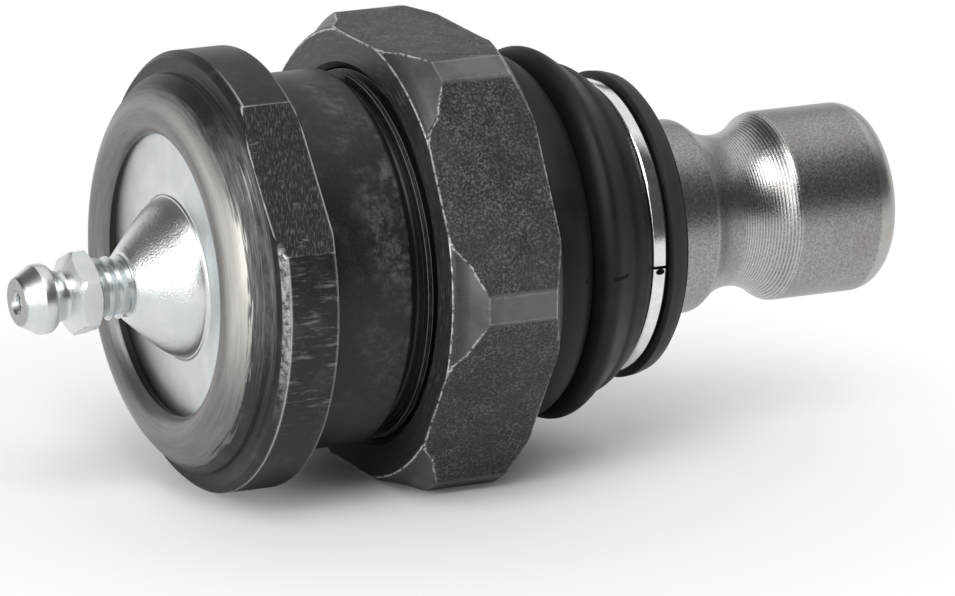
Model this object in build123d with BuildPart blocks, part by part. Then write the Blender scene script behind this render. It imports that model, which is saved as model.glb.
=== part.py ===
from build123d import *
import math
import os

# Greaseable suspension ball joint with a pinch-bolt stud, sizes in millimetres.
# The origin is the centre of the ball. +X runs along the stud, away from the grease
# fitting, and +Z is up when the joint lies on a flat of its nut and on its round head.

# ---- driving dimensions -------------------------------------------------------------
ball_dia = 23.0
pin_dia = 18.0                  # the part of the stud that the knuckle clamps
barrel_dia = 35.0               # the part of the housing that fits the arm's eye
thread_dia = 34.0               # mean diameter of the M35 x 1.5 thread behind the barrel
head_dia = 41.0
wrench_span = 38.0              # across the two wrench flats of the head
nut_span = 41.0                 # across the flats of the arm nut
running_gap = 0.05
thread_gap = 0.02

# ---- stations along the axis --------------------------------------------------------
head_back = -9.6                # shoulder that stops the arm's eye
head_thick = 5.7
head_front = head_back - head_thick
cover_face = -16.9
cover_thick = 1.85
cover_back = cover_face + cover_thick
seal_thick = 0.4
barrel_end = -1.0
thread_start = 0.0
nut_front = 1.2
nut_back = 12.3
thread_end = 12.6
ring_groove_start = 16.4
ring_groove_end = 18.1
housing_end = 18.6
boot_end = 28.9
stud_end = 54.7

# ---- radii that several pieces share ------------------------------------------------
ball_r = ball_dia / 2
socket_r = ball_r + running_gap
bore_r = 13.1
cover_seat_r = 14.6
throat_r = 9.9
lip_r = 13.1                    # inner edge of the rolled rim
boot_land_r = 15.6              # housing seat for the boot's large end
ring_groove_r = 13.9
end_flange_r = 14.5
collar_r = 9.2                  # stud collar that carries the boot's small end

# =====================================================================================
# Housing: one turned and forged piece. A round head with two wrench flats, a rim that is
# rolled over the cover, a smooth barrel for the arm's eye, a thread for the arm nut, and
# a groove for the boot's bead round a conical mouth that lets the stud tip.
# =====================================================================================
roll_centre = (-12.72, 13.03)
roll_r = 6.55
roll_from, roll_to = 160, 123   # degrees round the roll's centre
lip_edge_x = -17.8
front_chamfer = 0.45
head_r = head_dia / 2
barrel_r = barrel_dia / 2
thread_r = thread_dia / 2
relief_r = thread_r - 0.7
mouth_r = 12.4
throat_start, throat_end = 7.2, 8.5

with BuildPart() as housing:
    with BuildSketch(Plane.XZ):
        with BuildLine():
            roll = CenterArc(roll_centre, roll_r, roll_from, roll_to - roll_from)
            TangentArc(roll @ 0, (lip_edge_x, lip_r), tangent=(roll % 0) * -1)
            Polyline(
                roll @ 1,
                (head_front - 0.4, 18.9),
                (head_front, head_r - front_chamfer),
                (head_front + front_chamfer, head_r),
                (head_back - 0.45, head_r),
                (head_back, head_r - 0.7),
                (head_back, barrel_r),
                (barrel_end - 0.25, barrel_r),
                (barrel_end, barrel_r - 0.25),
                (barrel_end, relief_r),
                (thread_start, relief_r),
                (thread_start, thread_r),
                (thread_end - 0.4, thread_r),
                (thread_end, thread_r - 0.4),
                (thread_end, boot_land_r),
                (ring_groove_start, boot_land_r),
                (ring_groove_start, ring_groove_r),
                (ring_groove_end, ring_groove_r),
                (ring_groove_end, end_flange_r),
                (housing_end, end_flange_r),
                (housing_end, mouth_r),
                (throat_end, throat_r),
                (throat_start, throat_r),
                (throat_start, bore_r),
                (cover_back + seal_thick, bore_r),
                (cover_back + seal_thick, cover_seat_r),
                (cover_face, cover_seat_r),
                (cover_face, lip_r),
                (lip_edge_x, lip_r),
            )
        make_face()
    revolve(axis=Axis.X)

    # two wrench flats, milled across the head up to the shoulder
    flat_angle = 140.6          # from +Y towards +Z
    flat_cut = 4.0
    with BuildSketch(Plane.YZ.offset(head_back)):
        with PolarLocations((wrench_span + flat_cut) / 2, 2, start_angle=flat_angle):
            Rectangle(flat_cut, head_dia)
    extrude(amount=-(head_thick + 1.2), mode=Mode.SUBTRACT)

housing.part.label = "housing"

# =====================================================================================
# Arm nut: forged hexagon, turned round at the corners. A slightly tapered boss bears on
# the arm, with a 45 degree facet from the boss out to each corner, and the back is chamfered.
# =====================================================================================
boss_r = 21.2
boss_end, boss_end_r = 2.7, 21.65
corner_start, corner_r = 4.15, 23.1
nut_bore_r = thread_r + thread_gap

with BuildPart() as arm_nut:
    with BuildSketch(Plane.XZ):
        with BuildLine():
            Polyline(
                (boss_end, boss_end_r),
                (nut_front + 0.3, boss_r),
                (nut_front, boss_r - 0.3),
                (nut_front, nut_bore_r + 0.5),
                (nut_front + 0.5, nut_bore_r),
                (nut_back - 0.6, nut_bore_r),
                (nut_back, nut_bore_r + 0.6),
                (nut_back, 21.2),
                (nut_back - 1.55, corner_r),
                (corner_start, corner_r),
                (boss_end, boss_end_r),
            )
        make_face()
    revolve(axis=Axis.X)
    with BuildSketch(Plane.YZ.offset(nut_front)):
        RegularPolygon(nut_span / 2, 6, major_radius=False)
    extrude(amount=nut_back - nut_front, mode=Mode.INTERSECT)

arm_nut.part.label = "arm_nut"

# =====================================================================================
# End cover: pressed steel disc with a raised cone in the middle, tapped for the grease
# fitting. The housing's rim is rolled down over its edge, on to a flat sealing ring.
# =====================================================================================
cone_base_r = 7.87
cone_tip = (-22.3, 3.3)
cone_shoulder = (-18.1, 7.0)
fitting_thread_r = 2.75         # mean radius of the M6 x 1 thread
tapped_r = fitting_thread_r + thread_gap
tapped_end = -18.9

with BuildPart() as end_cover:
    with BuildSketch(Plane.XZ):
        with BuildLine():
            cone = Line(cone_tip, cone_shoulder)
            TangentArc(cone @ 1, (cover_face, cone_base_r), tangent=cone % 1)
            Polyline(
                (cover_face, cone_base_r),
                (cover_face, cover_seat_r - running_gap),
                (cover_back, cover_seat_r - running_gap),
                (cover_back, 5.4),
                (tapped_end, 4.2),
                (tapped_end, tapped_r),
                (cone_tip[0], tapped_r),
                cone_tip,
            )
        make_face()
    revolve(axis=Axis.X)

end_cover.part.label = "end_cover"

with BuildPart() as cover_seal:
    with BuildSketch(Plane.YZ.offset(cover_back)):
        Circle(cover_seat_r - running_gap)
        Circle(bore_r + running_gap, mode=Mode.SUBTRACT)
    extrude(amount=seal_thick)

cover_seal.part.label = "cover_seal"

# =====================================================================================
# Grease fitting: M6 cone-head nipple with a 7 mm hexagon. A spring holds a check ball
# against the inside of its mouth.
# =====================================================================================
tip_x = -32.8
fitting_hex = 7.0
hex_corner_r = fitting_hex / math.sqrt(3)
hex_turn = 33                   # degrees that a corner stands from +Y
hex_front, hex_back = -27.4, -25.1
fitting_end = -18.6
mouth_hole_r = 0.8
channel_r = 1.35
check_ball_r = 1.2
ball_seat_x = -32.1
check_ball_x = ball_seat_x + math.sqrt(check_ball_r**2 - mouth_hole_r**2) + running_gap
spring_stop = -19.4

with BuildPart() as grease_fitting_body:
    with BuildSketch(Plane.XZ):
        with BuildLine():
            Polyline(
                (hex_front - 1.1, 2.35),
                (hex_front, hex_corner_r - 0.25),
                (hex_front + 0.3, hex_corner_r),
                (hex_back - 0.2, hex_corner_r),
                (hex_back, hex_corner_r - 0.35),
                (hex_back, 2.0),
                (hex_front - 1.1, 2.0),
                close=True,
            )
        make_face()
    revolve(axis=Axis.X)
    with BuildSketch(Plane.YZ.offset(hex_back)):
        RegularPolygon(fitting_hex / 2, 6, major_radius=False, rotation=hex_turn)
    extrude(amount=-5, mode=Mode.INTERSECT)
    with BuildSketch(Plane.XZ):
        with BuildLine():
            head_round = TangentArc((-31.05, 3.25), (tip_x, 2.45), tangent=(-1, 0))
            Polyline((-31.05, 3.25), (-29.9, 3.25), (-29.1, 2.35), (hex_front - 0.9, 2.35))
            Polyline(
                (hex_front - 0.9, 2.35),
                (hex_back - 0.5, 2.35),
                (hex_back - 0.5, fitting_thread_r),
                (fitting_end - 0.5, fitting_thread_r),
                (fitting_end, fitting_thread_r - 0.5),
                (fitting_end, mouth_hole_r),
                (spring_stop, mouth_hole_r),
                (spring_stop, channel_r),
                (ball_seat_x + channel_r - mouth_hole_r, channel_r),
                (ball_seat_x, mouth_hole_r),
                (tip_x, mouth_hole_r),
                head_round @ 1,
            )
        make_face()
    revolve(axis=Axis.X)
    with BuildSketch(Plane.YZ.offset(hex_front - 2)):
        Circle(channel_r)
    extrude(amount=8, mode=Mode.SUBTRACT)

grease_fitting_body.part.label = "grease_fitting_body"

with BuildPart() as grease_fitting_ball:
    with Locations((check_ball_x, 0, 0)):
        Sphere(check_ball_r)

grease_fitting_ball.part.label = "grease_fitting_ball"

# the check ball's coil spring, closed between the ball and the staked end of the body
wire_r = 0.16
coil_r = 0.9
coil_start = check_ball_x + math.sqrt(check_ball_r**2 - coil_r**2) + wire_r + running_gap
coil_end = spring_stop - wire_r - running_gap
coil_turns = 5

with BuildPart() as grease_fitting_spring:
    with BuildLine():
        coil = Helix(
            pitch=(coil_end - coil_start) / coil_turns,
            height=coil_end - coil_start,
            radius=coil_r,
            center=(coil_start, 0, 0),
            direction=(1, 0, 0),
        )
    with BuildSketch(Plane(origin=coil @ 0, z_dir=coil % 0)):
        Circle(wire_r)
    sweep(is_frenet=True)

grease_fitting_spring.part.label = "grease_fitting_spring"

# =====================================================================================
# Ball stud: forged and turned in one piece. The neck is thin enough to tip in the
# housing's mouth, the collar carries the boot, and the pinch bolt crosses the round
# waist between the collar and the pin.
# =====================================================================================
ball_flat_x = -11.0
ball_flat_r = math.sqrt(ball_r**2 - ball_flat_x**2)
neck_r = 5.8
neck_x = math.sqrt(ball_r**2 - neck_r**2)
neck_fillet = 1.6
flare_r = 3.1
collar_start = 24.3
collar_end = 34.8
waist_centre = (39.4, 12.9)
waist_r = 5.7
pin_r = pin_dia / 2
pin_start = 43.9
pin_round = 2.3
centre_drill_r = 1.5

with BuildPart() as ball_stud:
    with BuildSketch(Plane.XZ):
        with BuildLine():
            Line((ball_flat_x, 0), (ball_flat_x, ball_flat_r))
            ThreePointArc((ball_flat_x, ball_flat_r), (0, ball_r), (neck_x, neck_r))
            neck = Line((neck_x, neck_r), (collar_start - flare_r, neck_r))
            flare = TangentArc(neck @ 1, (collar_start, neck_r + flare_r), tangent=(1, 0))
            Polyline(flare @ 1, (collar_start + 0.3, collar_r), (collar_end, collar_r))
            waist = CenterArc(waist_centre, waist_r, 228, 84)
            TangentArc((collar_end, collar_r), waist @ 0, tangent=(1, 0))
            TangentArc((pin_start, pin_r), waist @ 1, tangent=(-1, 0))
            Line((pin_start, pin_r), (stud_end - pin_round, pin_r))
            TangentArc((stud_end - pin_round, pin_r), (stud_end, pin_r - pin_round), tangent=(1, 0))
            Polyline(
                (stud_end, pin_r - pin_round),
                (stud_end, centre_drill_r),
                (stud_end - centre_drill_r * math.sqrt(3), 0),
                (ball_flat_x, 0),
            )
        make_face()
    revolve(axis=Axis.X)
    # the neck runs into the ball through a hollow fillet
    neck_joint = ball_stud.edges().filter_by(GeomType.CIRCLE).sort_by_distance((neck_x, 0, neck_r))[0]
    fillet(neck_joint, neck_fillet)

ball_stud.part.label = "ball_stud"

# =====================================================================================
# Bearings: two acetal seats that hold the ball, each with grease grooves in its socket.
# The upper one stops against the housing's throat. The lower one is free to slide, and
# the disc spring pushes it on as the seats wear.
# =====================================================================================
bearing_r = bore_r - 0.06
opening_r = 9.35
upper_start = -0.6
upper_end = throat_start - running_gap
lower_end = -1.6
lower_start = -13.1
grease_hole_r = 2.0
oil_groove_depth = 0.5
oil_groove_width = 1.2


def socket_point(radius, side):
    """The point of the spherical socket at this radius, on the side -1 or +1 of the ball."""
    return (side * math.sqrt(socket_r**2 - radius**2), radius)


def socket_rim(x):
    """The point of the spherical socket at this station on the axis."""
    return (x, math.sqrt(socket_r**2 - x**2))


with BuildPart() as upper_bearing:
    with BuildSketch(Plane.XZ):
        with BuildLine():
            opening = socket_point(opening_r, 1)
            ThreePointArc(socket_rim(upper_start), socket_rim(3.4), opening)
            Polyline(
                opening,
                (upper_end, opening_r),
                (upper_end, bearing_r - 0.8),
                (upper_end - 0.8, bearing_r),
                (upper_start, bearing_r),
                socket_rim(upper_start),
            )
        make_face()
    revolve(axis=Axis.X)
    for groove_plane in (Plane.XZ, Plane.XY):
        with BuildSketch(groove_plane):
            Circle(socket_r + oil_groove_depth)
        extrude(amount=oil_groove_width / 2, both=True, mode=Mode.SUBTRACT)

upper_bearing.part.label = "upper_bearing"

with BuildPart() as lower_bearing:
    with BuildSketch(Plane.XZ):
        with BuildLine():
            hole_edge = socket_point(grease_hole_r, -1)
            ThreePointArc(socket_rim(lower_end), socket_rim(-8.2), hole_edge)
            Polyline(
                hole_edge,
                (lower_start, grease_hole_r),
                (lower_start, 9.5),
                (-9.4, bearing_r),
                (lower_end, bearing_r),
                socket_rim(lower_end),
            )
        make_face()
    revolve(axis=Axis.X)
    for groove_plane in (Plane.XZ, Plane.XY):
        with BuildSketch(groove_plane):
            Circle(socket_r + oil_groove_depth)
        extrude(amount=oil_groove_width / 2, both=True, mode=Mode.SUBTRACT)

lower_bearing.part.label = "lower_bearing"

# disc spring: a shallow cone that bears on the cover outside and on the lower seat inside
disc_inner_r, disc_outer_r = 5.8, 12.6
disc_thick = 0.9

with BuildPart() as preload_spring:
    with BuildSketch(Plane.XZ):
        with BuildLine():
            Polyline(
                (cover_back + running_gap, disc_outer_r),
                (cover_back + running_gap + disc_thick, disc_outer_r),
                (lower_start - running_gap, disc_inner_r),
                (lower_start - running_gap - disc_thick, disc_inner_r),
                close=True,
            )
        make_face()
    revolve(axis=Axis.X)

preload_spring.part.label = "preload_spring"

# =====================================================================================
# Dust boot: moulded rubber bellows with two folds. Its bead sits in the housing's groove
# under a wire ring, hidden in the crease. The small end is a thick collar with a groove
# for the clamp band and a square lip that seals against the knuckle.
# =====================================================================================
boot_start = thread_end + running_gap
bead_r = 15.0
ring_wire_r = 0.55
ring_x = (ring_groove_start + ring_groove_end) / 2
ring_r = bead_r + ring_wire_r + thread_gap
pocket_r = ring_r + ring_wire_r + thread_gap
pocket_start = ring_x - ring_wire_r - running_gap
pocket_end = ring_x + ring_wire_r + running_gap
slip_start, slip_end = 24.6, 28.2
slip_r = 10.4
collar_inner_r = slip_r + running_gap
band_start, band_groove_end = 25.25, 27.1
band_floor_r = 13.05
lip_disc_r = 14.3
lip_inner_r = 9.35

with BuildPart() as dust_boot:
    with BuildSketch(Plane.XZ):
        with BuildLine():
            first_fold = ThreePointArc((boot_start, 16.5), (15.3, 17.45), (17.9, pocket_r))
            crease = Line((pocket_end, bead_r), (18.6, 16.5))
            second_fold = ThreePointArc(crease @ 1, (19.75, 17.6), (20.9, 16.9))
            valley = TangentArc(second_fold @ 1, (22.0, 15.95), tangent=second_fold % 1)
            shoulder = TangentArc(valley @ 1, (24.9, 14.3), tangent=valley % 1)
            Polyline(
                first_fold @ 1,
                (pocket_start, pocket_r),
                (pocket_start, bead_r),
                crease @ 0,
            )
            Polyline(
                shoulder @ 1,
                (band_start, 14.0),
                (band_start, band_floor_r),
                (band_groove_end, band_floor_r),
                (band_groove_end, lip_disc_r - 0.15),
                (band_groove_end + 0.15, lip_disc_r),
                (boot_end - 0.3, lip_disc_r),
                (boot_end, lip_disc_r - 0.3),
                (boot_end, lip_inner_r),
                (slip_end + running_gap, lip_inner_r),
                (slip_end + running_gap, collar_inner_r),
                (slip_start - running_gap, collar_inner_r),
                (slip_start - running_gap, collar_inner_r + 1.6),
            )
            Polyline(
                (slip_start - running_gap, collar_inner_r + 1.6),
                (23.2, 13.7),
                (21.6, 14.7),
                (20.5, 15.4),
            )
            fold_inside = ThreePointArc((20.5, 15.4), (19.9, 16.05), (19.3, 15.4))
            Polyline(
                fold_inside @ 1,
                (housing_end + running_gap, end_flange_r + running_gap),
                (ring_groove_end - running_gap, end_flange_r + running_gap),
                (ring_groove_end - running_gap, ring_groove_r + running_gap),
                (ring_groove_start + running_gap, ring_groove_r + running_gap),
                (ring_groove_start + running_gap, boot_land_r + running_gap),
                (boot_start, boot_land_r + running_gap),
                first_fold @ 0,
            )
        make_face()
    revolve(axis=Axis.X)

dust_boot.part.label = "dust_boot"

with BuildPart() as boot_base_ring:
    with BuildSketch(Plane.XZ):
        with Locations((ring_x, ring_r)):
            Circle(ring_wire_r)
    revolve(axis=Axis.X)

boot_base_ring.part.label = "boot_base_ring"

# split steel band that clamps the small end, with a slot by its gap for the closing tool
band_inner_r = band_floor_r + running_gap
band_r = 13.95
band_width = 1.4
gap_angle = 181.0               # from +Y towards +Z
slot_angle = 184.0
slot_length, slot_width = 0.9, 0.6

with BuildPart() as boot_stud_band:
    with BuildSketch(Plane.YZ.offset(band_start + running_gap)):
        Circle(band_r)
        Circle(band_inner_r, mode=Mode.SUBTRACT)
        with PolarLocations(band_r, 1, start_angle=gap_angle):
            Rectangle(4.0, 0.4, mode=Mode.SUBTRACT)
    extrude(amount=band_width)
    slot_turn = math.radians(slot_angle)
    slot_axis = Vector(0, math.cos(slot_turn), math.sin(slot_turn))
    slot_middle = slot_axis * band_inner_r + Vector(band_start + running_gap + band_width * 0.58, 0, 0)
    with BuildSketch(Plane(origin=slot_middle, x_dir=(1, 0, 0), z_dir=slot_axis)):
        Ellipse(slot_length / 2, slot_width / 2)
    extrude(amount=1.5, both=True, mode=Mode.SUBTRACT)

boot_stud_band.part.label = "boot_stud_band"

# slip ring: the boot's collar grips it, and the stud turns inside it
with BuildPart() as stud_slip_ring:
    with BuildSketch(Plane.YZ.offset(slip_start)):
        Circle(slip_r)
        Circle(collar_r + running_gap, mode=Mode.SUBTRACT)
    extrude(amount=slip_end - slip_start)

stud_slip_ring.part.label = "stud_slip_ring"

# =====================================================================================
# One STEP file for each piece
# =====================================================================================
os.makedirs("parts", exist_ok=True)
export_step(housing.part, "parts/housing.step")
export_step(arm_nut.part, "parts/arm_nut.step")
export_step(end_cover.part, "parts/end_cover.step")
export_step(cover_seal.part, "parts/cover_seal.step")
export_step(grease_fitting_body.part, "parts/grease_fitting_body.step")
export_step(grease_fitting_ball.part, "parts/grease_fitting_ball.step")
export_step(grease_fitting_spring.part, "parts/grease_fitting_spring.step")
export_step(ball_stud.part, "parts/ball_stud.step")
export_step(upper_bearing.part, "parts/upper_bearing.step")
export_step(lower_bearing.part, "parts/lower_bearing.step")
export_step(preload_spring.part, "parts/preload_spring.step")
export_step(dust_boot.part, "parts/dust_boot.step")
export_step(boot_base_ring.part, "parts/boot_base_ring.step")
export_step(boot_stud_band.part, "parts/boot_stud_band.step")
export_step(stud_slip_ring.part, "parts/stud_slip_ring.step")
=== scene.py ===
from math import cos, pi, radians, sin

import bpy
from mathutils import Matrix, Vector


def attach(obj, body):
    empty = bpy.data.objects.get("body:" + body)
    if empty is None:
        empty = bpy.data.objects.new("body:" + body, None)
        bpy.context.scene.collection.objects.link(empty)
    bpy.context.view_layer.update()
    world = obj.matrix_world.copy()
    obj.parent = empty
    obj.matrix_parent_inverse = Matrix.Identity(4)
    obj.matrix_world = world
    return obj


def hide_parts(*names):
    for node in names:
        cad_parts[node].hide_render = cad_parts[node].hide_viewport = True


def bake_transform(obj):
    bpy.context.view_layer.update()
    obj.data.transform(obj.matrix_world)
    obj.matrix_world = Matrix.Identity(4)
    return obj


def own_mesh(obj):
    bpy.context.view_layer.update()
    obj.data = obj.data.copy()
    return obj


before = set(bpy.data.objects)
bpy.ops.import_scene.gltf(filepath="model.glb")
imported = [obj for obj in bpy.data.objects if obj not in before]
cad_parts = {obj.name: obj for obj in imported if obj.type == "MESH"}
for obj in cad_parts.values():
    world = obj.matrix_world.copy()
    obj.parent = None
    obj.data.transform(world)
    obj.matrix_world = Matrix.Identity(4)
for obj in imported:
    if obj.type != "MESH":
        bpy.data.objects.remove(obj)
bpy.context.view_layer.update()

# Studio. The joint lies on a flat of its nut and on its round head, on a white table.
# A key softbox hangs over it, a second one stands on the left, and the table fades into
# a white backdrop. +X is towards the stud's end, +Z is up and one unit is a metre.
mm = 0.001
table_height = -20.5 * mm
camera_place = (-336.7 * mm, -700.1 * mm, 215.7 * mm)
camera_turn, camera_down, camera_roll = radians(26.62), radians(15.79), radians(0.86)

bpy.context.scene.view_settings.view_transform = "Standard"
bpy.ops.object.select_all(action="DESELECT")
bpy.ops.object.camera_add(location=camera_place)
camera = bpy.context.object
camera.data.lens = 328.0
camera.data.sensor_width = 36.0
camera.data.clip_end = 20.0
aim = Matrix.Rotation(-camera_turn, 4, "Z") @ Matrix.Rotation(pi / 2 - camera_down, 4, "X")
camera.rotation_euler = (aim @ Matrix.Rotation(camera_roll, 4, "Z")).to_euler()
bpy.context.scene.camera = camera


def softbox(name, place, size, power):
    """A rectangular studio lamp that faces the middle of the joint."""
    bpy.ops.object.light_add(type="AREA", location=place)
    lamp = bpy.context.object
    lamp.name = name
    lamp.data.shape = "RECTANGLE"
    lamp.data.size, lamp.data.size_y = size
    lamp.data.energy = power
    lamp.rotation_euler = (Vector((0.01, 0, 0)) - Vector(place)).to_track_quat("-Z", "Y").to_euler()


softbox("softbox_key", (-0.22, -0.40, 0.78), (0.5, 0.5), 5.0)
softbox("softbox_left", (-0.70, -0.38, 0.32), (0.6, 0.7), 4.2)


def put(tree, kind, *inputs, **settings):
    """One shader node, with its inputs in order as values or as other nodes' outputs."""
    made = tree.nodes.new("ShaderNode" + kind)
    for key, value in settings.items():
        setattr(made, key, value)
    for socket, value in zip(made.inputs, inputs):
        if isinstance(value, bpy.types.NodeSocket):
            tree.links.new(value, socket)
        elif value is not None:
            socket.default_value = value
    return made.outputs[0]


def noise(tree, place, scale, detail=3.0, rough=0.5, distortion=0.0):
    return put(tree, "TexNoise", place, None, scale, detail, rough, None, None, None, distortion)


def ramp(tree, value, low, high, to_low=0.0, to_high=1.0):
    """A smooth step from to_low to to_high as the value goes from low to high."""
    return put(tree, "MapRange", value, low, high, to_low, to_high, interpolation_type="SMOOTHSTEP")


def maths(tree, operation, *inputs):
    return put(tree, "Math", *inputs, operation=operation)


def both(tree, *masks):
    """The product of the masks."""
    joined = masks[0]
    for mask in masks[1:]:
        joined = maths(tree, "MULTIPLY", joined, mask)
    return joined


def dot(tree, a, b):
    return put(tree, "VectorMath", a, b, operation="DOT_PRODUCT").node.outputs["Value"]


def tint(tree, amount, under, over):
    """The colour under, covered by the colour over where the amount is 1."""
    made = tree.nodes.new("ShaderNodeMix")
    made.data_type = "RGBA"
    for socket, value in ((made.inputs[0], amount), (made.inputs[6], under), (made.inputs[7], over)):
        if isinstance(value, bpy.types.NodeSocket):
            tree.links.new(value, socket)
        else:
            socket.default_value = (*value, 1) if isinstance(value, tuple) else value
    return made.outputs[2]


def finish(name):
    """A new material: its node tree, its Principled shader and the place on the piece in mm."""
    material = bpy.data.materials.new(name)
    material.use_nodes = True
    tree = material.node_tree
    tree.nodes.clear()
    surface = tree.nodes.new("ShaderNodeBsdfPrincipled")
    tree.links.new(surface.outputs[0], tree.nodes.new("ShaderNodeOutputMaterial").inputs["Surface"])
    metres = tree.nodes.new("ShaderNodeTexCoord").outputs["Object"]
    place = put(tree, "VectorMath", metres, None, None, 1000.0, operation="SCALE")
    return material, tree, surface, place


def feed(tree, surface, **sources):
    """Sets the shader's sockets, or links them where a node's output is given."""
    for key, source in sources.items():
        socket = surface.inputs[key.replace("_", " ")]
        if isinstance(source, bpy.types.NodeSocket):
            tree.links.new(source, socket)
        else:
            socket.default_value = (*source, 1) if isinstance(source, tuple) else source


# a dark room with a white backdrop low down behind and a pale ceiling; the camera sees white
world = bpy.data.worlds.new("studio")
bpy.context.scene.world = world
world.use_nodes = True
tree = world.node_tree
tree.nodes.clear()
heading = tree.nodes.new("ShaderNodeSeparateXYZ")
tree.links.new(tree.nodes.new("ShaderNodeTexCoord").outputs["Generated"], heading.inputs[0])
right, away, up = heading.outputs
backdrop = both(tree, ramp(tree, up, 0.44, 0.30), ramp(tree, away, -0.1, 0.25))
ceiling = both(tree, ramp(tree, up, 0.42, 0.62), ramp(tree, right, -0.25, 0.1),
               ramp(tree, away, -0.40, -0.05))
room = maths(tree, "MAXIMUM", backdrop, maths(tree, "MULTIPLY", ceiling, 0.95))
room = maths(tree, "MAXIMUM", room, 0.08)
rays = tree.nodes.new("ShaderNodeLightPath").outputs
seen = maths(tree, "MAXIMUM", rays["Is Camera Ray"], rays["Is Transmission Ray"])
sky = put(tree, "Background", (1, 1, 1, 1), maths(tree, "MAXIMUM", room, seen))
tree.links.new(sky, tree.nodes.new("ShaderNodeOutputWorld").inputs["Surface"])

bpy.ops.mesh.primitive_plane_add(size=6.0, location=(0, 0, table_height))
table = bpy.context.object
table.name = "studio_table"
bpy.ops.object.transform_apply(location=True, rotation=True, scale=True)
white, tree, paper, place = finish("white_table")
feed(tree, paper, Base_Color=(0.85, 0.85, 0.865), Roughness=0.6, Specular_IOR_Level=0.2)
from_joint = put(tree, "VectorMath", place, (6.0, 0.0, 0.0), operation="SUBTRACT")
reach = maths(tree, "SQRT", dot(tree, from_joint, from_joint))
near_fade = ramp(tree, reach, 21.0, 30.0, 0.0, 0.25)
fade = maths(tree, "ADD", near_fade, ramp(tree, reach, 26.0, 72.0, 0.0, 0.75))
rays = tree.nodes.new("ShaderNodeLightPath").outputs
mirrored = both(tree, ramp(tree, reach, 27.0, 42.0, 0.0, 0.9), rays["Is Glossy Ray"])
shown = maths(tree, "MAXIMUM", both(tree, fade, rays["Is Camera Ray"]), mirrored)
glow = put(tree, "Emission", (1, 1, 1, 1), 1.0)
output = next(node for node in tree.nodes if node.type == "OUTPUT_MATERIAL")
tree.links.new(put(tree, "MixShader", shown, paper.outputs[0], glow), output.inputs["Surface"])
table.data.materials.append(white)


# Housing. One piece of forged and turned steel with a black phosphate finish: a round
# head with two milled wrench flats, a barrel for the arm's eye and an M35 thread. The
# front rim is rolled down over the cover, which leaves it bare and ringed with marks.
def arc(centre, radius, start, end, steps):
    """Stations along a round stretch of a turned profile, from start to end in degrees."""
    turns = [radians(start + (end - start) * i / steps) for i in range(steps + 1)]
    return [(centre[0] + radius * cos(t), centre[1] + radius * sin(t)) for t in turns]


def turned(name, stations, around=180):
    """A lathe-turned piece: a ring at the first station, extruded on to each next one."""
    bpy.ops.object.select_all(action="DESELECT")
    first_x, first_r = stations[0]
    bpy.ops.mesh.primitive_circle_add(
        vertices=around, radius=first_r * mm, location=(first_x * mm, 0, 0), rotation=(0, pi / 2, 0))
    piece = bpy.context.object
    piece.name = name
    bpy.ops.object.transform_apply(location=True, rotation=True, scale=True)
    bpy.ops.object.mode_set(mode="EDIT")
    bpy.ops.mesh.select_all(action="SELECT")
    for (x, r), (next_x, next_r) in zip(stations, stations[1:]):
        bpy.ops.mesh.extrude_edges_move(TRANSFORM_OT_translate={"value": ((next_x - x) * mm, 0, 0)})
        grow = next_r / r
        bpy.ops.transform.resize(value=(1, grow, grow), center_override=(next_x * mm, 0, 0))
    bpy.ops.mesh.select_all(action="SELECT")
    bpy.ops.mesh.remove_doubles(threshold=0.002 * mm)
    bpy.ops.mesh.select_all(action="DESELECT")
    bpy.ops.mesh.select_non_manifold()
    bpy.ops.mesh.edge_face_add()
    bpy.ops.mesh.select_all(action="SELECT")
    bpy.ops.mesh.normals_make_consistent(inside=False)
    bpy.ops.object.mode_set(mode="OBJECT")
    return piece


def select_only(piece):
    bpy.ops.object.select_all(action="DESELECT")
    bpy.context.view_layer.objects.active = piece
    piece.select_set(True)


def cut_flat(piece, facing, distance, keep_after=None):
    """Saws a flat on a piece, square to the direction and at a distance in mm from the axis."""
    select_only(piece)
    bpy.ops.object.mode_set(mode="EDIT")
    bpy.ops.mesh.select_all(action="DESELECT")
    bpy.ops.object.mode_set(mode="OBJECT")
    for face in piece.data.polygons:
        face.select = keep_after is None or face.center.x < keep_after * mm
    bpy.ops.object.mode_set(mode="EDIT")
    bpy.ops.mesh.bisect(
        plane_co=Vector(facing) * distance * mm, plane_no=facing, use_fill=True, clear_outer=True)
    bpy.ops.object.mode_set(mode="OBJECT")


def cut_hexagon(piece, half_span, turned_by):
    for side in range(6):
        across = radians(turned_by + 60 * side)
        cut_flat(piece, (0, cos(across), sin(across)), half_span)


def smooth(piece, sharp):
    """Shades a piece smooth, but for edges sharper than an angle in degrees."""
    select_only(piece)
    bpy.ops.object.shade_smooth_by_angle(angle=radians(sharp))


def drawn(points, steps=6):
    """Stations on a smooth curve through a few points of a soft profile."""
    out = []
    for i in range(len(points) - 1):
        before = points[max(i - 1, 0)]
        after = points[min(i + 2, len(points) - 1)]
        a, b = points[i], points[i + 1]
        for k in range(steps):
            t = k / steps
            out.append(tuple(
                0.5 * (2 * a[j] + (b[j] - before[j]) * t
                       + (2 * before[j] - 5 * a[j] + 4 * b[j] - after[j]) * t**2
                       + (3 * a[j] - before[j] - 3 * b[j] + after[j]) * t**3)
                for j in (0, 1)))
    return out + [points[-1]]


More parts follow.
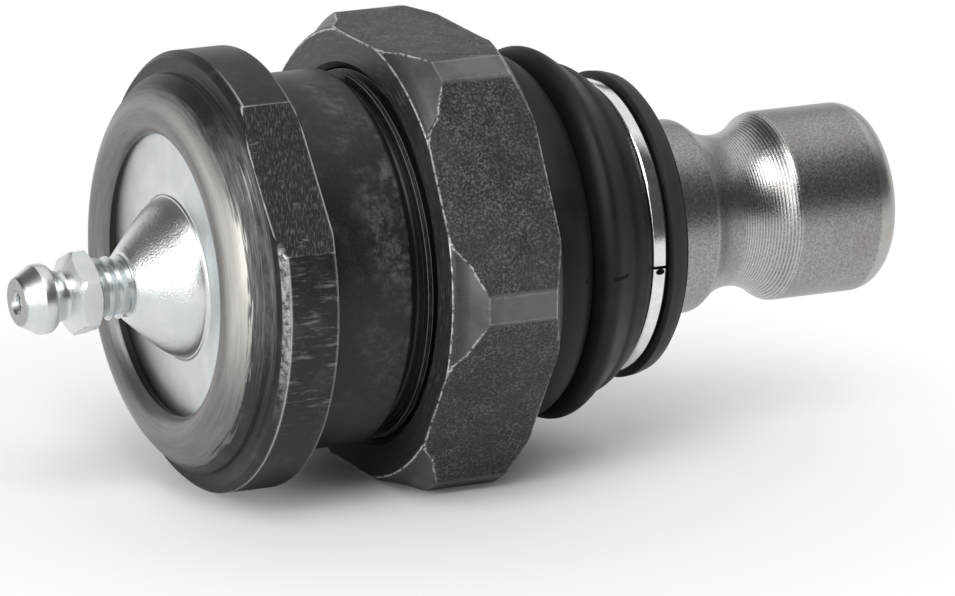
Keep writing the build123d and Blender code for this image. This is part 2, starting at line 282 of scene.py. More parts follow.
rim_front, head_front, head_back, barrel_back = -17.7, -14.7, -9.6, -1.0
head_r, barrel_r, cover_seat_r, cavity_r = 20.5, 17.5, 14.5, 13.1
wrench_half_span, bare_r = 19.0, 17.75
wrench_facing = (0, cos(radians(140.6)), sin(radians(140.6)))
wrench_along = (0, -wrench_facing[2], wrench_facing[1])
thread_pitch = 1.5
thread_core, thread_crest = 16.3, 17.2
housing_profile = (
    [(-16.9, cover_seat_r), (-16.95, 13.25), (-17.35, cavity_r), (rim_front, cavity_r)]
    + arc((-17.29, 14.70), 1.68, 256, 161, 12)
    + arc((-12.72, 13.03), 6.55, 159, 124, 14)
    + arc((-16.0, 18.97), 0.5, 285, 360, 6)
    + [(-15.42, 19.85), (-15.35, 19.97)]
    + [(-14.85, 20.42), (head_front, head_r), (-10.1, head_r), (-9.95, 20.45), (head_back, 19.85)]
    + [(head_back, 17.9), (-9.5, 17.6), (-9.3, barrel_r)]
    + [(-1.35, barrel_r), (-1.15, 17.42), (barrel_back, 17.2), (-0.95, 16.45), (-0.8, 16.3)]
    + [(-0.1, 16.2), (0.1, thread_core), (12.3, thread_core), (12.6, 15.6)]
    + [(16.4, 15.6), (16.4, 13.9), (18.1, 13.9), (18.1, 14.5), (18.6, 14.5)]
    + [(18.6, 12.4), (8.5, 9.9), (7.2, 9.9), (7.2, cavity_r), (-14.65, cavity_r)]
    + [(-14.65, cover_seat_r), (-16.9, cover_seat_r)])
housing = turned("housing_body", housing_profile, around=240)
for side in (1, -1):
    cut_flat(housing, tuple(side * v for v in wrench_facing), wrench_half_span, head_back + 0.02)
smooth(housing, 18)


def axial(tree, place):
    """The station on the axis, the distance from it in mm, and the turn round it in radians."""
    split = tree.nodes.new("ShaderNodeSeparateXYZ")
    tree.links.new(place, split.inputs[0])
    x, y, z = split.outputs
    across = maths(tree, "MULTIPLY_ADD", z, z, maths(tree, "MULTIPLY", y, y))
    turn = maths(tree, "ARCTAN2", z, maths(tree, "MULTIPLY", y, -1.0))
    return x, maths(tree, "SQRT", across), turn


def relief(tree, surface, height, depth):
    """Bumps the surface by the height, times the depth in mm."""
    tree.links.new(put(tree, "Bump", 1.0, depth * mm, None, height), surface.inputs["Normal"])


def worn_and_glinting_edges_group():
    """Where a piece's sharp edges have rubbed bright, broken up by nicks; the bright line is partly wear and
    partly a painted edge highlight.
    """
    group = bpy.data.node_groups.new("worn_and_glinting_edges", "ShaderNodeTree")
    for name, value in (("Width", 0.2), ("Wear", 0.5)):
        group.interface.new_socket(name, in_out="INPUT", socket_type="NodeSocketFloat").default_value = value
    group.interface.new_socket("Place", in_out="INPUT", socket_type="NodeSocketVector")
    group.interface.new_socket("Mask", in_out="OUTPUT", socket_type="NodeSocketFloat")
    given = group.nodes.new("NodeGroupInput").outputs
    rounded = group.nodes.new("ShaderNodeBevel")
    rounded.samples = 6
    group.links.new(maths(group, "MULTIPLY", given["Width"], mm), rounded.inputs["Radius"])
    flat = group.nodes.new("ShaderNodeNewGeometry").outputs["Normal"]
    edge = ramp(group, dot(group, rounded.outputs[0], flat), 0.997, 0.968)
    broken = noise(group, given["Place"], 2.0, 6.0, 0.7)
    kept = maths(group, "ADD", broken, maths(group, "MULTIPLY_ADD", given["Wear"], 0.6, -0.3))
    result = group.nodes.new("NodeGroupOutput")
    group.links.new(both(group, edge, ramp(group, kept, 0.40, 0.56)), result.inputs["Mask"])
    return group


worn_and_glinting_edges = worn_and_glinting_edges_group()


def edge_wear_and_glint(tree, place, width, wear_and_glint):
    """The worn edges of a piece, partly wear and partly a painted edge highlight, for a line this wide in mm.
    """
    made = tree.nodes.new("ShaderNodeGroup")
    made.node_tree = worn_and_glinting_edges
    made.inputs["Width"].default_value = width
    made.inputs["Wear"].default_value = wear_and_glint
    tree.links.new(place, made.inputs["Place"])
    return made.outputs["Mask"]


housing_steel, tree, surface, place = finish("phosphated_steel")
x, r, turn = axial(tree, place)
fine = noise(tree, place, 5.0, 3.0, 0.6)
smudge = noise(tree, place, 0.32, 7.0, 0.66)
black = tint(tree, ramp(tree, fine, 0.35, 0.75), (0.010, 0.010, 0.011), (0.021, 0.0205, 0.0205))
black = tint(tree, ramp(tree, smudge, 0.50, 0.74, 0.0, 0.45), black, (0.075, 0.072, 0.068))
# scuffs on the barrel, thickest by the thread
scuff = ramp(tree, noise(tree, place, 1.3, 10.0, 0.80, distortion=0.3), 0.40, 0.70)
by_thread = both(tree, ramp(tree, x, -6.5, -4.0), ramp(tree, x, barrel_back + 0.1, barrel_back - 0.2),
                 ramp(tree, turn, -0.5, 0.35, 0.3, 1.0))
patchy = ramp(tree, noise(tree, place, 0.16, 3.0, 0.5), 0.36, 0.56)
black = tint(tree, both(tree, scuff, by_thread, patchy), black, (0.105, 0.101, 0.097))
# scratches along the head, below its wrench flat
scored_place = put(tree, "VectorMath", place, (0.35, 2.2, 2.2), operation="MULTIPLY")
scored = ramp(tree, noise(tree, scored_place, 1.0, 8.0, 0.74), 0.52, 0.66)
on_head = both(tree, ramp(tree, x, head_back, head_back - 0.2), ramp(tree, r, head_r - 0.3, head_r - 0.1),
               ramp(tree, turn, -0.75, -0.2), ramp(tree, turn, 1.0, 0.6))
black = tint(tree, both(tree, scored, on_head), black, (0.14, 0.135, 0.13))
# painted shade: everything past the barrel's end and inside 16.7 mm, the groove and thread core, is painted
# near black
groove_shade = both(tree, ramp(tree, x, barrel_back - 0.1, barrel_back + 0.05), ramp(tree, r, 17.1, 16.7))
black = tint(tree, groove_shade, black, (0.006, 0.006, 0.006))
# the milled wrench flats, streaked across by the cutter and scratched by spanners
facing = tree.nodes.new("ShaderNodeNewGeometry").outputs["True Normal"]
square = maths(tree, "ABSOLUTE", dot(tree, facing, wrench_facing))
milled = both(tree, ramp(tree, square, 0.985, 0.998), ramp(tree, x, head_back + 0.15, head_back))
across = dot(tree, place, wrench_along)
slanted = maths(tree, "MULTIPLY_ADD", across, 0.25, x)
streak_x = maths(tree, "MULTIPLY", slanted, 7.0)
streak_place = put(tree, "CombineXYZ", streak_x, maths(tree, "MULTIPLY", across, 1.3), 0.0)
streaks = noise(tree, streak_place, 1.0, 5.0, 0.7)
streaked = tint(tree, ramp(tree, streaks, 0.48, 0.70), (0.006, 0.006, 0.006), (0.12, 0.114, 0.108))
scratch_place = put(tree, "VectorMath", place, (0.5, 3.0, 3.0), operation="MULTIPLY")
scratches = ramp(tree, noise(tree, scratch_place, 1.0, 4.0, 0.6), 0.66, 0.70)
streaked = tint(tree, maths(tree, "MULTIPLY", scratches, 0.4), streaked, (0.20, 0.195, 0.19))
black = tint(tree, milled, black, streaked)
# bright edges, partly worn and partly a painted edge highlight, and the head's chamfer rubbed in patches
# below the flat
edges = edge_wear_and_glint(tree, place, 0.30, 0.8)
on_rim_of_head = ramp(tree, r, head_r - 0.3, head_r - 0.2)
wear_and_glint = both(tree, edges, maths(tree, "MAXIMUM", milled, on_rim_of_head), ramp(tree, turn, 1.5, 1.0))
low_corner = both(tree, ramp(tree, turn, 0.25, 0.28), ramp(tree, turn, 0.38, 0.35),
                  ramp(tree, x, head_front + 0.1, head_front + 0.5),
                  ramp(tree, x, head_back - 0.7, head_back - 1.0))
wear_and_glint = both(tree, wear_and_glint, ramp(tree, low_corner, 0.0, 1.0, 1.0, 0.1), ramp(tree, x, -14.0, -13.0, 1.0, 0.5))
chamfer = both(tree, ramp(tree, r, 19.9, 20.0), ramp(tree, x, head_front + 0.05, head_front - 0.15),
               ramp(tree, turn, -0.55, -0.05), ramp(tree, turn, 0.40, 0.34))
chamfer = both(tree, chamfer, ramp(tree, noise(tree, place, 2.0, 7.0, 0.75), 0.36, 0.62))
wear_and_glint = maths(tree, "MAXIMUM", wear_and_glint, maths(tree, "MULTIPLY", chamfer, 0.45))
black = tint(tree, wear_and_glint, black, (0.80, 0.79, 0.77))
# the bare rolled rim: faint rings, streaks where the finish starts, and an inner wall painted near black,
# partly grime and partly painted shade
rings = noise(tree, put(tree, "CombineXYZ", x, r, 0.0), 4.0, 3.0, 0.6)
ring_place = put(tree, "CombineXYZ", maths(tree, "MULTIPLY", r, 4.0), maths(tree, "MULTIPLY", turn, 3.0), 0.0)
brushed = noise(tree, ring_place, 1.0, 4.0, 0.6)
bare_edge = maths(tree, "ADD", r, ramp(tree, brushed, 0.3, 0.7, -0.32, 0.32))
softness = ramp(tree, turn, 0.3, 1.1, 0.3, 2.0)
depth = maths(tree, "DIVIDE", maths(tree, "SUBTRACT", bare_r, bare_edge), softness)
bare = both(tree, ramp(tree, depth, 0.0, 1.0), ramp(tree, x, -16.6, -17.0))
# the finish behind the rim is rubbed thinner in streaks beside the flat, and the streaks are partly a painted
# reflection, over a span of turns only
streak_place = put(tree, "CombineXYZ", maths(tree, "MULTIPLY", r, 9.0), maths(tree, "MULTIPLY", turn, 5.0), x)
thin_finish_and_reflection = both(tree, ramp(tree, r, 19.3, 18.9), ramp(tree, turn, -0.8, 0.2), ramp(tree, turn, 1.2, 0.8),
            ramp(tree, noise(tree, streak_place, 1.0, 5.0, 0.7), 0.30, 0.74), ramp(tree, x, -15.0, -15.6))
bare = maths(tree, "MAXIMUM", bare, maths(tree, "MULTIPLY", thin_finish_and_reflection, 0.32))
grey = tint(tree, ramp(tree, brushed, 0.3, 0.7), (0.175, 0.169, 0.162), (0.225, 0.217, 0.208))
# painted highlight: the rim's outer part is painted bright over the turns where the left softbox's reflection
# falls
burnish_and_highlight = tint(tree, ramp(tree, brushed, 0.3, 0.7), (0.50, 0.478, 0.45), (0.60, 0.573, 0.54))
highlight_turns = both(tree, ramp(tree, turn, -0.6, 0.1), ramp(tree, turn, 1.9, 0.9, 0.2, 1.0))
grey = tint(tree, both(tree, ramp(tree, r, 15.0, 16.2), highlight_turns), grey, burnish_and_highlight)
# painted shade and grime: the rim's inner wall is painted near black
inside = both(tree, ramp(tree, r, cavity_r + 0.4, cavity_r + 0.1), ramp(tree, x, rim_front, rim_front + 0.1))
black = tint(tree, inside, black, (0.010, 0.008, 0.005))
bare = both(tree, bare, maths(tree, "SUBTRACT", 1.0, inside))
satin = both(tree, bare, ramp(tree, r, 14.2, 16.2, 0.6, 0.92))
feed(tree, surface, Base_Color=tint(tree, bare, black, grey),
     Metallic=maths(tree, "MAXIMUM", satin, maths(tree, "MULTIPLY", wear_and_glint, 0.5)),
     Roughness=maths(tree, "MULTIPLY_ADD", smudge, 0.16, ramp(tree, bare, 0.0, 1.0, 0.33, 0.28)),
     Specular_IOR_Level=0.32)
grain = maths(tree, "ADD", maths(tree, "MULTIPLY", streaks, milled), both(tree, rings, bare, 0.25))
relief(tree, surface, maths(tree, "MULTIPLY_ADD", fine, 0.2, grain), 0.05)
housing.data.materials.append(housing_steel)
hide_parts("housing")
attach(housing, "housing")

# The M35 x 1.5 thread, whose first turns are seen in the black groove before the nut, a groove painted near
# black as shade.
def wind_thread(piece, pitch, turns, steps):
    """Screws a section that stands on the XZ plane round the X axis."""
    screw = piece.modifiers.new("screw", "SCREW")
    screw.axis = "X"
    screw.screw_offset = pitch * mm
    screw.iterations = turns
    screw.steps = screw.render_steps = steps
    bpy.ops.object.modifier_apply(modifier="screw")


thread_middle = 0.45
bpy.ops.object.select_all(action="DESELECT")
bpy.ops.mesh.primitive_plane_add(size=1.0, rotation=(pi / 2, 0, 0))
thread = bpy.context.object
thread.name = "housing_thread"
thread.scale = (1.2 * mm, (thread_crest - thread_core) * mm, 1)
thread.location = (thread_middle * mm, 0, (thread_crest + thread_core) / 2 * mm)
bpy.ops.object.transform_apply(location=True, rotation=True, scale=True)
for vertex in thread.data.vertices:
    vertex.select = vertex.co.z > 16.8 * mm
bpy.ops.object.mode_set(mode="EDIT")
bpy.ops.transform.resize(value=(0.4, 1, 1), center_override=(thread_middle * mm, 0, 0))
bpy.ops.object.mode_set(mode="OBJECT")
wind_thread(thread, thread_pitch, turns=8, steps=120)
smooth(thread, 25)

thread_steel, tree, surface, place = finish("thread_steel")
wear_and_glint = edge_wear_and_glint(tree, place, 0.10, 0.8)
oily = noise(tree, place, 2.0, 4.0, 0.6)
black = tint(tree, ramp(tree, oily, 0.4, 0.7), (0.005, 0.005, 0.005), (0.02, 0.02, 0.02))
feed(tree, surface, Base_Color=tint(tree, wear_and_glint, black, (0.22, 0.215, 0.21)),
     Roughness=ramp(tree, oily, 0.3, 0.7, 0.36, 0.5))
relief(tree, surface, oily, 0.02)
thread.data.materials.append(thread_steel)
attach(thread, "housing")


# Arm nut. A forged 41 mm hexagon with a black finish: rough forged flats, turned corners
# with a facet down to a slightly tapered boss, and a chamfered back. It clamps the arm.
nut_half_span, nut_turn = 20.5, 30
nut_front, nut_back, nut_bore_r, nut_corner_r = 1.2, 12.3, 17.35, 22.9
nut_profile = (
    [(1.75, nut_bore_r), (nut_front, 17.9), (nut_front, 20.9), (1.3, 20.98), (1.45, 21.14)]
    + [(1.55, 21.21), (2.45, 21.55), (2.6, 21.62), (2.72, 21.72), (2.85, 21.84)]
    + [(4.0, nut_corner_r), (10.9, nut_corner_r), (12.25, 21.3), (nut_back, 21.2)]
    + [(nut_back, 17.9), (11.75, nut_bore_r), (1.75, nut_bore_r)])
nut = turned("arm_nut_body", nut_profile, around=240)
cut_hexagon(nut, nut_half_span, nut_turn)
smooth(nut, 20)

nut_steel, tree, surface, place = finish("forged_black_steel")
span = 0.0
for side in range(3):
    across = radians(nut_turn + 60 * side)
    reach = maths(tree, "ABSOLUTE", dot(tree, place, (0, cos(across), sin(across))))
    span = maths(tree, "MAXIMUM", span, reach)
forged = ramp(tree, span, nut_half_span - 0.08, nut_half_span - 0.02)
grit = noise(tree, place, 4.2, 4.0, 0.70)
cloud = noise(tree, place, 0.12, 4.0, 0.6)
fine = noise(tree, place, 5.0, 3.0, 0.6)
x, r, turn = axial(tree, place)
patchy = ramp(tree, noise(tree, place, 0.5, 4.0, 0.6), 0.38, 0.62, 0.45, 1.0)
gritty = both(tree, ramp(tree, grit, 0.45, 0.64), patchy)
rough_flat = tint(tree, gritty, (0.004, 0.004, 0.004), (0.145, 0.136, 0.128))
turned_black = tint(tree, ramp(tree, fine, 0.4, 0.8), (0.020, 0.020, 0.020), (0.040, 0.040, 0.039))
rubbed = both(tree, ramp(tree, x, nut_front + 0.4, nut_front + 2.0),
              ramp(tree, x, nut_back - 0.3, nut_back - 1.5),
              ramp(tree, cloud, 0.38, 0.58, 0.4, 1.0))
turned_black = tint(tree, rubbed, turned_black, (0.120, 0.111, 0.103))
black = tint(tree, forged, turned_black, rough_flat)
black = tint(tree, ramp(tree, cloud, 0.45, 0.7, 0.0, 0.25), black, (0.075, 0.073, 0.07))
# scuffs that run round the front face
scuff_place = put(
    tree, "CombineXYZ", maths(tree, "MULTIPLY", r, 3.0), maths(tree, "MULTIPLY", turn, 9.0), 0.0)
scuffs = ramp(tree, noise(tree, scuff_place, 1.0, 7.0, 0.72), 0.50, 0.68)
scuffs = both(tree, scuffs, ramp(tree, x, nut_front + 0.15, nut_front + 0.02))
black = tint(tree, maths(tree, "MULTIPLY", scuffs, 0.5), black, (0.16, 0.155, 0.15))
# painted shade: the low part of the front face, between head and nut, is painted near black and made rougher
nook_shade = both(tree, ramp(tree, turn, -0.35, -0.9), ramp(tree, x, nut_front + 0.2, nut_front + 0.05))
black = tint(tree, maths(tree, "MULTIPLY", nook_shade, 0.85), black, (0.002, 0.002, 0.002))
# the front edge of the flats is rubbed bright, the back one less, the corners hardly; the bright edge is
# partly wear and partly a painted edge highlight
shine = maths(tree, "ADD", ramp(tree, x, nut_front + 2.7, nut_front + 2.3),
              ramp(tree, x, nut_back - 1.7, nut_back - 1.4, 0.2, 0.5))
wear_and_glint = both(tree, edge_wear_and_glint(tree, place, 0.30, 0.5), shine, ramp(tree, r, 18.2, 19.0))
feed(tree, surface, Base_Color=tint(tree, wear_and_glint, black, (0.80, 0.79, 0.77)),
     Metallic=maths(tree, "MULTIPLY", wear_and_glint, 0.5),
     Roughness=maths(tree, "MULTIPLY_ADD", forged, 0.10, ramp(tree, nook_shade, 0.0, 1.0, 0.40, 0.75)))
height = maths(tree, "MULTIPLY_ADD", grit, forged, maths(tree, "MULTIPLY", fine, 0.12))
relief(tree, surface, height, 0.17)
nut.data.materials.append(nut_steel)
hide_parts("arm_nut")
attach(nut, "housing")


# End cover. A zinc-plated disc pressed into the head, with a raised cone that is tapped
# for the grease fitting. The housing's rim is rolled down on to its edge.
cover_face, cone_foot_r = -16.9, 7.5
cover_profile = (
    [(-22.3, 2.9), (-22.3, 3.15), (-22.2, 3.3)]
    + drawn([(-22.0, 3.5), (-20.2, 5.2), (-18.7, 6.55), (-17.9, 7.12), (-17.35, 7.42)], 7)
    + [(-17.22, 7.46), (-17.15, cone_foot_r), (-17.12, 7.62)]
    + arc((-17.18, 7.9), 0.28, 285, 360, 4)
    + [(cover_face, 8.2), (cover_face, cover_seat_r), (-15.05, cover_seat_r), (-15.05, 5.4)]
    + [(-18.9, 4.2), (-18.9, 2.9), (-22.3, 2.9)])
cover = turned("end_cover_plate", cover_profile)


def set_askew(piece, before=0.0):
    """Tips what lies in front of a station a little, as the pressed cover sits in its seat."""
    select_only(piece)
    bpy.ops.object.mode_set(mode="EDIT")
    bpy.ops.mesh.select_all(action="DESELECT")
    bpy.ops.object.mode_set(mode="OBJECT")
    for vertex in piece.data.vertices:
        vertex.select = vertex.co.x < before * mm
    bpy.ops.object.mode_set(mode="EDIT")
    bpy.ops.transform.rotate(value=radians(2.3), orient_axis="Y", center_override=(-10.3 * mm, 0, 0))
    bpy.ops.object.mode_set(mode="OBJECT")


set_askew(cover, before=-16.0)
smooth(cover, 40)

zinc, tree, surface, place = finish("zinc_plate")
x, r, _ = axial(tree, place)
speck = noise(tree, place, 5.0, 4.0, 0.6)
cloud = noise(tree, place, 0.35, 4.0, 0.6)
plating = tint(tree, ramp(tree, cloud, 0.35, 0.7), (0.66, 0.69, 0.70), (0.74, 0.765, 0.77))
plating = tint(tree, ramp(tree, speck, 0.50, 0.75, 0.0, 0.12), plating, (0.45, 0.47, 0.48))
# greasy and dull round the fitting's mouth
fitting_tip = -32.8
mouth = ramp(tree, x, fitting_tip + 0.35, fitting_tip + 0.1, 0.0, 0.7)
plating = tint(tree, mouth, plating, (0.26, 0.25, 0.24))
wear_and_glint = edge_wear_and_glint(tree, place, 0.12, 0.4)
dull = ramp(tree, r, cone_foot_r + 0.1, cone_foot_r + 0.9, 0.25, 0.38)
feed(tree, surface, Base_Color=tint(tree, wear_and_glint, plating, (0.85, 0.85, 0.85)), Metallic=1.0,
     Roughness=maths(tree, "ADD", dull, maths(tree, "MULTIPLY", speck, 0.10)))
grain = both(tree, noise(tree, place, 5.0, 2.0, 0.6), ramp(tree, r, 7.3, 6.6), ramp(tree, x, -22.4, -21.6))
relief(tree, surface, maths(tree, "MULTIPLY_ADD", grain, 1.6, speck), 0.02)
cover.data.materials.append(zinc)
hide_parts("end_cover")
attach(cover, "housing")


# Grease fitting. A zinc-plated M6 nipple screwed into the cover: a round head for the
# grease gun, a neck, a 7 mm hexagon and the thread, with a check ball in its mouth.
fitting_profile = (
    [(-32.2, 0.8), (-32.45, 0.82), (-32.72, 1.12), (fitting_tip, 1.2), (fitting_tip, 2.1)]
    + [(-32.74, 2.2)]
    + [(-32.6, 2.3), (-31.2, 3.12), (-31.05, 3.22), (-30.85, 3.26), (-30.2, 3.26), (-29.95, 3.2)]
    + drawn([(-29.8, 3.1), (-29.3, 2.6), (-28.9, 2.38), (-28.55, 2.34), (-28.3, 2.4)], 4)
    + [(-25.0, 2.4), (-25.0, 2.5), (-18.9, 2.5), (-18.6, 2.3), (-18.6, 0.8), (-19.4, 0.8)]
    + [(-19.4, 1.35), (-31.4, 1.35), (-32.2, 0.8)])
fitting = turned("grease_fitting_turning", fitting_profile, around=96)
set_askew(fitting)
smooth(fitting, 18)
fitting.data.materials.append(zinc)

hexagon_half_span, fitting_pitch = 3.5, 1.0
hexagon_profile = [(-28.35, 2.0), (-28.35, 2.4), (-27.45, 3.75), (-27.2, 4.0), (-27.05, 4.05),
                   (-26.0, 4.05), (-25.7, 3.6), (-25.7, 2.0), (-28.35, 2.0)]
hexagon = turned("grease_fitting_hexagon", hexagon_profile, around=96)
cut_hexagon(hexagon, hexagon_half_span, turned_by=63)
set_askew(hexagon)
smooth(hexagon, 20)
hexagon.data.materials.append(zinc)

bpy.ops.object.select_all(action="DESELECT")
bpy.ops.mesh.primitive_circle_add(vertices=3, radius=0.48 * mm, fill_type="NGON",
                                  location=(-26.3 * mm, 0, 2.52 * mm), rotation=(pi / 2, pi / 2, 0))
fitting_thread = bpy.context.object
fitting_thread.name = "grease_fitting_thread"
bpy.ops.object.transform_apply(location=True, rotation=True, scale=True)
wind_thread(fitting_thread, fitting_pitch, turns=5, steps=64)
set_askew(fitting_thread)
smooth(fitting_thread, 40)
fitting_thread.data.materials.append(zinc)
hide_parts("grease_fitting_body")
for piece in (fitting, hexagon, fitting_thread):
    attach(piece, "housing")

check_ball_x, check_ball_r = -31.15, 1.2
bpy.ops.object.select_all(action="DESELECT")
bpy.ops.mesh.primitive_uv_sphere_add(
    segments=48, ring_count=24, radius=check_ball_r * mm, location=(check_ball_x * mm, 0, 0))
check_ball = bpy.context.object
check_ball.name = "grease_fitting_check_ball"
bpy.ops.object.transform_apply(location=True, rotation=True, scale=True)
set_askew(check_ball)
smooth(check_ball, 60)

bright, tree, surface, place = finish("bright_steel")
smear = noise(tree, place, 0.8, 6.0, 0.7)
smeared = tint(tree, ramp(tree, smear, 0.4, 0.7), (0.72, 0.73, 0.74), (0.86, 0.87, 0.88))
feed(tree, surface, Base_Color=smeared, Metallic=1.0, Roughness=ramp(tree, smear, 0.3, 0.7, 0.10, 0.20))
relief(tree, surface, smear, 0.01)
check_ball.data.materials.append(bright)
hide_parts("grease_fitting_ball")
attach(check_ball, "check_ball")


# Ball stud. Bare turned steel: the ball and neck inside, then the collar that carries
# the boot, the waist that the pinch bolt crosses, and the pin with its rounded end.
ball_r, neck_r, collar_r, pin_r = 11.5, 5.8, 9.2, 9.0
waist_middle, pin_start, pin_end = 39.4, 44.1, 54.7
stud_profile = (
    [(-11.0, 0.01), (-11.0, 3.2), (-10.95, 3.5)]
    + arc((0, 0), ball_r, 161, 34.5, 40)
    + arc((10.81, 7.4), 1.6, 214, 268, 5)
    + [(12.0, neck_r), (21.0, neck_r)]
    + arc((21.2, 8.9), 3.1, 272, 360, 8)
    + [(24.6, collar_r), (34.3, collar_r)]
    + arc((34.4, 7.9), 1.3, 85, 45, 5)
    + arc((waist_middle, 12.9), 5.7, 229, 311, 30)
    + [(43.35, 8.76), (43.55, 8.88), (43.8, 8.97), (pin_start, pin_r), (52.2, pin_r)]
    + arc((52.3, 6.7), 2.3, 85, 12, 10)
    + [(54.68, 6.6), (pin_end, 6.3), (pin_end, 1.5), (52.4, 0.01)])
groove_pitch = 0.27
stud = turned("ball_stud_body", stud_profile)
smooth(stud, 35)

stud_steel, tree, surface, place = finish("bare_turned_steel")
x, _, _ = axial(tree, place)
mottle = noise(tree, place, 4.6, 6.0, 0.68)
cloud = noise(tree, place, 0.22, 5.0, 0.6)
rings = noise(tree, put(tree, "CombineXYZ", x, 0.0, 0.0), 4.0, 3.0, 0.6)
steel = tint(tree, ramp(tree, mottle, 0.36, 0.66), (0.25, 0.241, 0.233), (0.44, 0.422, 0.410))
steel = tint(tree, ramp(tree, cloud, 0.42, 0.66, 0.0, 0.35), steel, (0.26, 0.228, 0.212))
# the tool's fine grooves on the far flank of the waist, with painted glints on their crests, a painted
# highlight line on the collar's rounded edge, and the pin end's burnish
cut = maths(tree, "SINE", maths(tree, "MULTIPLY", x, 2 * pi / groove_pitch))
flank = both(tree, ramp(tree, x, waist_middle - 1.6, waist_middle + 0.2),
             ramp(tree, x, pin_start - 0.1, pin_start - 0.4))
grooves_and_glints = maths(tree, "MULTIPLY", cut, flank)
steel = tint(tree, ramp(tree, grooves_and_glints, 0.0, 0.9, 0.0, 0.55), steel, (0.74, 0.73, 0.71))
collar_edge_highlight = both(tree, ramp(tree, x, 34.75, 34.85), ramp(tree, x, 35.0, 34.9), 0.5)
burnish_and_highlight = maths(tree, "ADD", ramp(tree, x, pin_end - 2.6, pin_end - 2.3), collar_edge_highlight)
steel = tint(tree, maths(tree, "MULTIPLY", burnish_and_highlight, 0.5), steel, (0.60, 0.58, 0.55))
wear_and_glint = edge_wear_and_glint(tree, place, 0.15, 0.5)
feed(tree, surface, Base_Color=tint(tree, wear_and_glint, steel, (0.6, 0.59, 0.57)), Metallic=1.0,
     Roughness=maths(tree, "MULTIPLY_ADD", mottle, 0.16, maths(tree, "MULTIPLY_ADD", flank, -0.07, 0.27)))
fine_height = maths(tree, "MULTIPLY_ADD", rings, 0.25, maths(tree, "MULTIPLY", mottle, 0.45))
relief(tree, surface, maths(tree, "MULTIPLY_ADD", grooves_and_glints, 0.10, fine_height), 0.05)
stud.data.materials.append(stud_steel)
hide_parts("ball_stud")
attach(stud, "stud")


# Dust boot. One moulded rubber bellows with two folds, and seam marks across them.
# Its bead sits in the housing's groove, and its collar and lip close on the stud.
fold_crease, lip_front, lip_back = 17.95, 27.1, 29.15
boot_outside = drawn([
    (12.7, 16.5), (13.4, 17.05), (14.6, 17.38), (15.7, 17.45), (16.8, 17.2), (17.6, 16.65),
    (17.85, 16.1), (17.75, 15.6), (17.85, 15.2), (18.15, 15.15), (18.35, 15.6), (18.5, 16.3),
    (18.85, 17.05), (19.5, 17.52), (20.1, 17.5), (20.8, 17.08), (21.5, 16.52), (22.1, 16.06),
    (22.5, 15.82), (22.7, 15.78), (23.1, 15.7), (23.7, 15.4), (24.4, 14.84), (25.0, 14.15)], 4)
boot_collar = (
    [(25.2, 14.0), (25.22, 13.4), (25.25, 13.06), (lip_front, 13.06), (27.12, 13.7), (27.15, 14.3)]
    + [(27.3, 14.5), (27.95, 14.44), (28.7, 14.22), (lip_back, 13.7), (lip_back, 9.35), (28.25, 9.35)]
    + [(28.25, 10.45), (24.55, 10.45)])
boot_inside = drawn([
    (24.55, 12.0), (23.0, 13.9), (21.4, 14.8), (20.0, 16.1), (19.3, 15.4), (18.65, 14.56)], 4)
boot_bead = [(18.05, 14.55), (18.05, 13.95), (16.45, 13.95), (16.45, 15.65), (12.7, 15.65), (12.7, 16.5)]
boot = turned("dust_boot_bellows", boot_outside + boot_collar + boot_inside + boot_bead)
smooth(boot, 45)

rubber, tree, surface, place = finish("boot_rubber")
x, _, turn = axial(tree, place)
bloom = noise(tree, place, 0.25, 5.0, 0.6)
pores = noise(tree, place, 6.0, 3.0, 0.6)
dark = tint(tree, ramp(tree, bloom, 0.35, 0.7), (0.005, 0.005, 0.005), (0.011, 0.011, 0.011))
# short seam marks that the mould leaves across both folds
seam = ramp(tree, maths(tree, "ABSOLUTE", turn), 0.013, 0.007)
on_folds = maths(tree, "ADD", both(tree, ramp(tree, x, 16.6, 16.7), ramp(tree, x, 17.9, 17.8)),
                 both(tree, ramp(tree, x, 19.3, 19.6), ramp(tree, x, 21.5, 21.2)))
seam = both(tree, seam, on_folds)
# dusty on the lip; painted shade, near black and rougher, in the creases and along the lip's back edge
dusty = maths(tree, "MULTIPLY", ramp(tree, x, lip_front, lip_front + 0.2), 0.6)
dark = tint(tree, dusty, dark, (0.040, 0.039, 0.038))
# painted shade in the creases and at the lip's back edge, joined with the real seam marks
crease_shade = ramp(tree, maths(tree, "ABSOLUTE", maths(tree, "SUBTRACT", x, fold_crease)), 1.2, 0.4)
lip_edge_shade = ramp(tree, x, lip_back - 0.45, lip_back - 0.37)
shade_and_seams = maths(tree, "MAXIMUM", crease_shade, maths(tree, "MAXIMUM", seam, lip_edge_shade))
feed(tree, surface, Base_Color=tint(tree, shade_and_seams, dark, (0.002, 0.002, 0.002)),
     Roughness=maths(tree, "MULTIPLY_ADD", shade_and_seams, 0.3, ramp(tree, bloom, 0.3, 0.7, 0.48, 0.58)),
     Specular_IOR_Level=0.3)
relief(tree, surface, maths(tree, "MULTIPLY_ADD", seam, -8.0, pores), 0.02)
boot.data.materials.append(rubber)
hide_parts("dust_boot")
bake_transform(boot)


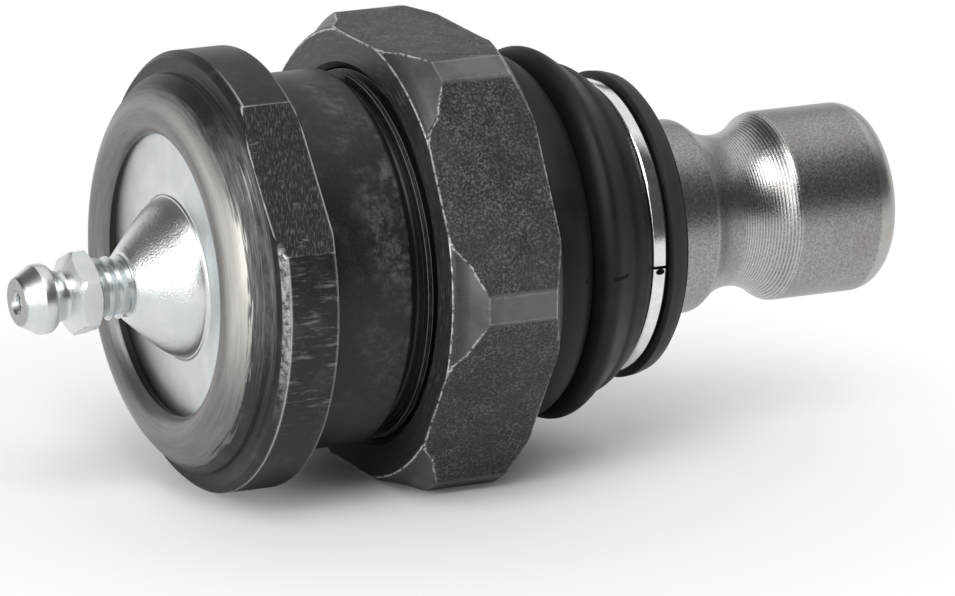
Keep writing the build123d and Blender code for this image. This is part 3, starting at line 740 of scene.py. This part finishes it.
# Boot band. A split flat band of bright steel, sprung into the groove of the boot's
# collar, with a slot by its gap for the tool that closes it.
band_start, band_end, band_inner, band_outer = 25.3, 26.95, 13.1, 13.95
gap_place, gap_width = radians(181.0), 0.3
slot_place, slot_length, slot_width = radians(184.0), 0.9, 0.6
gap_turn = gap_width / band_outer
bpy.ops.object.select_all(action="DESELECT")
bpy.ops.mesh.primitive_plane_add(size=1.0, rotation=(0, 0, 0))
band = bpy.context.object
band.name = "boot_band"
band.scale = ((band_end - band_start) * mm, (band_outer - band_inner) * mm, 1)
band.location = ((band_start + band_end) / 2 * mm, (band_outer + band_inner) / 2 * mm, 0)
bpy.ops.object.transform_apply(location=True, rotation=True, scale=True)
bpy.ops.object.mode_set(mode="EDIT")
bpy.ops.mesh.select_all(action="SELECT")
bpy.ops.mesh.bevel(offset=0.41 * mm, segments=6, affect="VERTICES")
bpy.ops.transform.rotate(value=-(gap_place + gap_turn / 2), orient_axis="X", center_override=(0, 0, 0))
bpy.ops.mesh.spin(steps=240, angle=2 * pi - gap_turn, center=(0, 0, 0), axis=(1, 0, 0))
bpy.ops.mesh.select_all(action="SELECT")
bpy.ops.mesh.remove_doubles(threshold=0.002 * mm)
bpy.ops.mesh.normals_make_consistent(inside=False)
bpy.ops.object.mode_set(mode="OBJECT")
slot_middle, slot_r = band_start + 0.81, (band_outer + band_inner) / 2
bpy.ops.object.select_all(action="DESELECT")
bpy.ops.mesh.primitive_cylinder_add(vertices=48, radius=0.5 * mm, depth=2.0 * mm)
punch = bpy.context.object
punch.scale = (slot_length, slot_width, 1)
punch.rotation_euler = (slot_place - pi / 2, 0, 0)
punch.location = (slot_middle * mm, slot_r * cos(slot_place) * mm, slot_r * sin(slot_place) * mm)
bpy.ops.object.transform_apply(location=True, rotation=True, scale=True)
slot = band.modifiers.new("slot", "BOOLEAN")
slot.operation = "DIFFERENCE"
slot.object = punch
bpy.context.view_layer.objects.active = band
bpy.ops.object.modifier_apply(modifier="slot")
bpy.data.objects.remove(punch)
smooth(band, 35)

band.data.materials.append(bright)
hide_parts("boot_stud_band")
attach(band, "boot_end")


# Inner pieces. The acetal seats and slip ring, the springs and wire ring of drawn steel and
# the rubber seal keep the shapes that they have in the frame, and take their own finishes.
acetal, tree, surface, place = finish("natural_acetal")
milk = noise(tree, place, 0.4, 4.0, 0.5)
feed(tree, surface, Base_Color=tint(tree, ramp(tree, milk, 0.3, 0.7), (0.78, 0.77, 0.72), (0.86, 0.85, 0.81)),
     Roughness=ramp(tree, milk, 0.3, 0.7, 0.38, 0.48))
relief(tree, surface, noise(tree, place, 4.0, 2.0, 0.5), 0.01)

spring_steel, tree, surface, place = finish("oiled_spring_steel")
drawn_lines = noise(tree, place, 3.0, 4.0, 0.6)
feed(tree, surface, Metallic=1.0,
     Base_Color=tint(tree, ramp(tree, drawn_lines, 0.3, 0.7), (0.26, 0.26, 0.27), (0.40, 0.40, 0.41)),
     Roughness=ramp(tree, drawn_lines, 0.3, 0.7, 0.28, 0.40))
relief(tree, surface, drawn_lines, 0.01)

inner_finish = {
    "upper_bearing": acetal, "lower_bearing": acetal, "stud_slip_ring": acetal,
    "preload_spring": spring_steel, "boot_base_ring": spring_steel, "grease_fitting_spring": spring_steel,
    "cover_seal": rubber}
for name, material in inner_finish.items():
    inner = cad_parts[name]
    inner.data.materials.clear()
    inner.data.materials.append(material)
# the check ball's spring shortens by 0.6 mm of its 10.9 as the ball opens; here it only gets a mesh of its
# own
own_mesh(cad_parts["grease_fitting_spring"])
